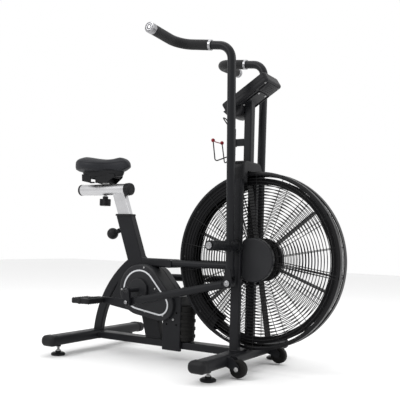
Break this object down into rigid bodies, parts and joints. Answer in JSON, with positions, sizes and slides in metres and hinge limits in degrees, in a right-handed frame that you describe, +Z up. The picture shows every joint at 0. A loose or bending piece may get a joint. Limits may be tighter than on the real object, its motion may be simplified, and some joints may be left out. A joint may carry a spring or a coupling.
{
  "type": "air bike",
  "caption": "Fan exercise bike with a wire fan cage, swinging handle arms linked to the crank, a sliding saddle on a slanted post, and a floor frame on levelling feet",
  "frame": {"origin": "On the floor at the middle of the bounding box", "axes": "+X forward (the way the rider faces, fan at the front), +Y to the rider's left, +Z up"},
  "size_m": [1.305, 0.75, 1.3418],
  "materials": {
    "black_paint": "satin powder coat",
    "black_plastic": "fine moulded grain",
    "black_rubber": "matt",
    "grip_foam": "closed-cell foam, matt",
    "saddle_skin": "synthetic leather over foam",
    "silver_trim": "silver paint",
    "brushed_silver": "brushed",
    "bare_steel": "zinc plated",
    "wire_paint": "gloss paint on wire",
    "red_plastic": "moulded",
    "dark_glass": "clear window over a dark display",
    "grey_key": "soft key"
  },
  "bodies": {
    "frame": {"base_beam": "black_paint", "rear_stabilizer": "black_paint", "front_stabilizer": "black_paint", "stabilizer_end_caps": "black_plastic", "arch_tube": "black_paint", "drive_core": "black_paint", "seat_mast": "black_paint", "mast_collar": "black_plastic", "pedestal_tube": "black_paint", "drive_column": "black_paint", "column_front_cover": "black_plastic", "top_tube": "black_paint", "side_tubes": "black_paint", "drive_cover_right": "black_plastic", "drive_cover_left": "black_plastic", "cover_trim": "silver_trim", "chains": "bare_steel", "fork_legs": "black_paint", "crown_cap": "black_plastic", "console_mast": "black_paint", "console_housing": "black_plastic", "console_screen": "dark_glass", "bottle_cage": "wire_paint", "bottle_cage_tips": "red_plastic", "foot_pegs": "black_paint", "hub_covers": "black_plastic", "grilles": "black_paint", "cage_rim": "black_paint", "wind_guard": "black_paint"},
    "crankset": {"crank_axle": "black_paint", "crank_arms": "black_paint"},
    "pedal_right": {"pedal_right": "black_plastic"},
    "pedal_left": {"pedal_left": "black_plastic"},
    "jackshaft": {"jackshaft": "bare_steel"},
    "fan": {"fan_wheel": "black_paint", "fan_hoop": "black_paint", "fan_axle": "bare_steel"},
    "arm_right": {"arm_right": "black_paint", "grip_right": "grip_foam", "handle_trim_right": "brushed_silver"},
    "arm_left": {"arm_left": "black_paint", "grip_left": "grip_foam", "handle_trim_left": "brushed_silver"},
    "rod_right": {"rod_right": "black_paint"},
    "rod_left": {"rod_left": "black_paint"},
    "seat_post": {"seat_post": "brushed_silver", "slide_tube": "brushed_silver", "slide_end_caps": "black_plastic"},
    "pop_pin": {"pop_pin": "black_plastic"},
    "saddle": {"saddle_slider": "bare_steel", "saddle_shell": "black_plastic", "saddle_cushion": "saddle_skin"},
    "star_knob": {"star_knob": "black_plastic"},
    "console_key": {"console_key": "grey_key"},
    "foot_front_right": {"foot_front_right": "black_plastic"},
    "foot_front_left": {"foot_front_left": "black_plastic"},
    "foot_rear_right": {"foot_rear_right": "black_plastic"},
    "foot_rear_left": {"foot_rear_left": "black_plastic"},
    "wheel_right": {"wheel_right": "black_rubber"},
    "wheel_left": {"wheel_left": "black_rubber"}
  },
  "joints": [
    {"name": "fan_spin", "type": "hinge", "parent": "frame", "child": "fan", "pos_m": [0.3025, 0, 0.437], "axis": [0, 1, 0], "continuous": true},
    {"name": "crank_spin", "type": "hinge", "parent": "frame", "child": "crankset", "pos_m": [-0.2385, 0, 0.287], "axis": [0, 1, 0], "continuous": true},
    {"name": "jackshaft_spin", "type": "hinge", "parent": "frame", "child": "jackshaft", "pos_m": [-0.1295, 0, 0.229], "axis": [0, 1, 0], "continuous": true},
    {"name": "pedal_right_spin", "type": "hinge", "parent": "crankset", "child": "pedal_right", "pos_m": [-0.39648, -0.213, 0.2394], "axis": [0, 1, 0], "continuous": true},
    {"name": "pedal_left_spin", "type": "hinge", "parent": "crankset", "child": "pedal_left", "pos_m": [-0.08052, 0.213, 0.3346], "axis": [0, 1, 0], "continuous": true},
    {"name": "arm_right_swing", "type": "hinge", "parent": "frame", "child": "arm_right", "pos_m": [0.2405, -0.125, 0.49], "axis": [0, 1, 0], "range_deg": [-19, 19]},
    {"name": "arm_left_swing", "type": "hinge", "parent": "frame", "child": "arm_left", "pos_m": [0.2405, 0.125, 0.49], "axis": [0, 1, 0], "range_deg": [-19, 19]},
    {"name": "rod_right_hinge", "type": "hinge", "parent": "arm_right", "child": "rod_right", "pos_m": [0.2405, -0.125, 0.345], "axis": [0, 1, 0], "range_deg": [-19.5, 19.5]},
    {"name": "rod_left_hinge", "type": "hinge", "parent": "arm_left", "child": "rod_left", "pos_m": [0.2405, 0.125, 0.345], "axis": [0, 1, 0], "range_deg": [-19.5, 19.5]},
    {"name": "seat_height", "type": "slide", "parent": "frame", "child": "seat_post", "axis": [-0.3527, 0, 0.9358], "range_m": [-0.07, 0.07]},
    {"name": "seat_pin_pull", "type": "slide", "parent": "frame", "child": "pop_pin", "axis": [-0.9358, 0, -0.3527], "range_m": [0, 0.012], "stiffness_N_per_m": 1500},
    {"name": "saddle_fore_aft", "type": "slide", "parent": "seat_post", "child": "saddle", "axis": [1, 0, 0], "range_m": [-0.055, 0.012]},
    {"name": "star_knob_turn", "type": "hinge", "parent": "saddle", "child": "star_knob", "pos_m": [-0.5005, 0, 0.68], "axis": [0, 0, 1], "continuous": true},
    {"name": "console_key_press", "type": "slide", "parent": "frame", "child": "console_key", "axis": [0.5299, 0, -0.848], "range_m": [0, 0.0015], "stiffness_N_per_m": 900},
    {"name": "foot_front_right_turn", "type": "hinge", "parent": "frame", "child": "foot_front_right", "pos_m": [0.2475, -0.281, 0.006], "axis": [0, 0, 1], "continuous": true},
    {"name": "foot_front_left_turn", "type": "hinge", "parent": "frame", "child": "foot_front_left", "pos_m": [0.2475, 0.281, 0.006], "axis": [0, 0, 1], "continuous": true},
    {"name": "foot_rear_right_turn", "type": "hinge", "parent": "frame", "child": "foot_rear_right", "pos_m": [-0.5175, -0.251, 0.006], "axis": [0, 0, 1], "continuous": true},
    {"name": "foot_rear_left_turn", "type": "hinge", "parent": "frame", "child": "foot_rear_left", "pos_m": [-0.5175, 0.251, 0.006], "axis": [0, 0, 1], "continuous": true},
    {"name": "wheel_right_spin", "type": "hinge", "parent": "frame", "child": "wheel_right", "pos_m": [0.3185, -0.181, 0.038], "axis": [0, 1, 0], "continuous": true},
    {"name": "wheel_left_spin", "type": "hinge", "parent": "frame", "child": "wheel_left", "pos_m": [0.3185, 0.181, 0.038], "axis": [0, 1, 0], "continuous": true}
  ],
  "couplings": [
    {"joint": "crank_spin", "follows": "fan_spin", "ratio": 0.14405},
    {"joint": "jackshaft_spin", "follows": "fan_spin", "ratio": 0.52381},
    {"joint": "arm_left_swing", "follows": "arm_right_swing", "ratio": -1},
    {"joint": "rod_right_hinge", "follows": "arm_right_swing", "ratio": -1},
    {"joint": "rod_left_hinge", "follows": "arm_right_swing", "ratio": 1}
  ]
}
